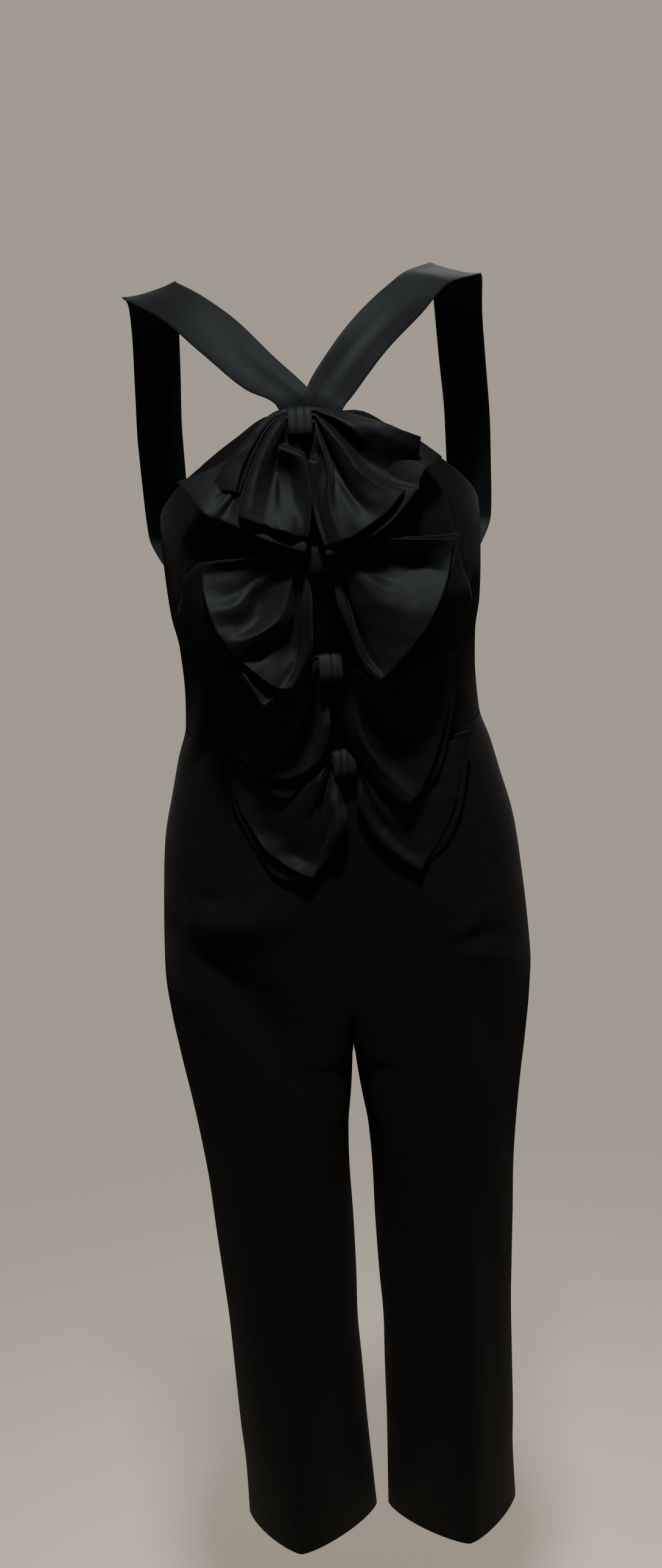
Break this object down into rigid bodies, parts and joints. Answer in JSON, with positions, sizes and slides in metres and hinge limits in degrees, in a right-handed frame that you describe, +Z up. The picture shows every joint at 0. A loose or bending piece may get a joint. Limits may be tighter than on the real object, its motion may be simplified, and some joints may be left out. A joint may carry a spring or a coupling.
{
  "type": "jumpsuit",
  "caption": "Sleeveless black crepe jumpsuit with cropped wide trousers, crossed satin straps and a column of layered satin bows down the front, in its worn shape.",
  "frame": {"origin": "the point midway between the two shoulders, at the height where the straps lie over them and hold the garment up", "axes": "+Z up, the front faces -Y, +X is the wearer's left; left and right in node names mean -X and +X"},
  "size_m": [0.3278, 0.2773, 1.1717],
  "materials": {
    "crepe": "matte",
    "satin": "satin"
  },
  "bodies": {
    "root": {"bodice_centre_front": "crepe", "bodice_side_front_left": "crepe", "bodice_side_front_right": "crepe", "bodice_back_left": "crepe", "bodice_back_right": "crepe", "trouser_front_left": "crepe", "trouser_front_right": "crepe", "trouser_back_left": "crepe", "trouser_back_right": "crepe", "strap_left": "satin", "strap_right": "satin", "bow1_back_piece": "satin", "bow1_front_piece": "satin", "bow1_knot": "satin", "bow2_back_piece": "satin", "bow2_front_piece": "satin", "bow2_knot": "satin", "bow3_back_piece": "satin", "bow3_front_piece": "satin", "bow3_knot": "satin", "bow4_back_piece": "satin", "bow4_front_piece": "satin", "bow4_knot": "satin"}
  },
  "joints": []
}
